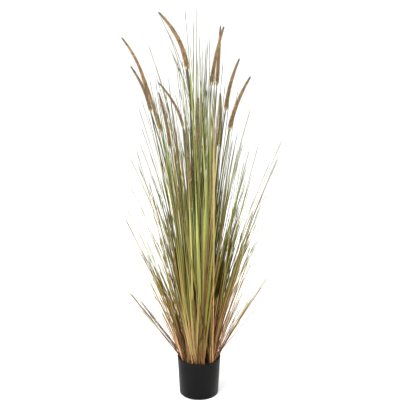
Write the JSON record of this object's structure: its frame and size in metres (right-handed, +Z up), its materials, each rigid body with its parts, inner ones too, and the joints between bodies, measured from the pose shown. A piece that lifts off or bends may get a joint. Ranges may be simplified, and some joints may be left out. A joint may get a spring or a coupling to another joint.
{
  "type": "potted field grass",
  "caption": "Tall ornamental field grass: tufts of long narrow green and straw-brown blades with foxtail flower spikes on thin stems, in a plain black tapered plastic pot.",
  "frame": {"origin": "middle of the pot's flat underside", "axes": "+Z up along the pot's axis, -Y towards the front of the picture, +X to its right"},
  "size_m": [0.599, 0.54, 1.5],
  "materials": {
    "pot": "satin",
    "fill": "matte",
    "stem": "matte",
    "spike": "matte",
    "blade": "matte"
  },
  "bodies": {
    "root": {"pot": "pot", "fill": "fill", "flower_stem_01": "stem", "flower_stem_02": "stem", "flower_stem_03": "stem", "flower_stem_04": "stem", "flower_stem_05": "stem", "flower_stem_06": "stem", "flower_stem_07": "stem", "flower_stem_08": "stem", "flower_stem_09": "stem", "flower_stem_10": "stem", "flower_stem_11": "stem", "flower_stem_12": "stem", "flower_stem_13": "stem", "flower_stem_14": "stem", "flower_stem_15": "stem", "flower_spike_01": "spike", "flower_spike_02": "spike", "flower_spike_03": "spike", "flower_spike_04": "spike", "flower_spike_05": "spike", "flower_spike_06": "spike", "flower_spike_07": "spike", "flower_spike_08": "spike", "flower_spike_09": "spike", "flower_spike_10": "spike", "flower_spike_11": "spike", "flower_spike_12": "spike", "flower_spike_13": "spike", "flower_spike_14": "spike", "flower_spike_15": "spike", "grass_tuft_01": "blade", "grass_tuft_02": "blade", "grass_tuft_03": "blade", "grass_tuft_04": "blade", "grass_tuft_05": "blade", "grass_tuft_06": "blade", "grass_tuft_07": "blade", "grass_tuft_08": "blade", "grass_tuft_09": "blade", "grass_tuft_10": "blade", "grass_tuft_11": "blade", "grass_tuft_12": "blade", "grass_tuft_13": "blade", "grass_tuft_14": "blade", "grass_tuft_15": "blade", "grass_tuft_16": "blade", "grass_tuft_17": "blade", "grass_tuft_18": "blade", "grass_tuft_19": "blade", "grass_tuft_20": "blade", "grass_tuft_21": "blade", "grass_tuft_22": "blade", "grass_tuft_23": "blade", "grass_tuft_24": "blade", "grass_tuft_25": "blade", "grass_tuft_26": "blade", "grass_tuft_27": "blade", "grass_tuft_28": "blade"}
  },
  "joints": []
}
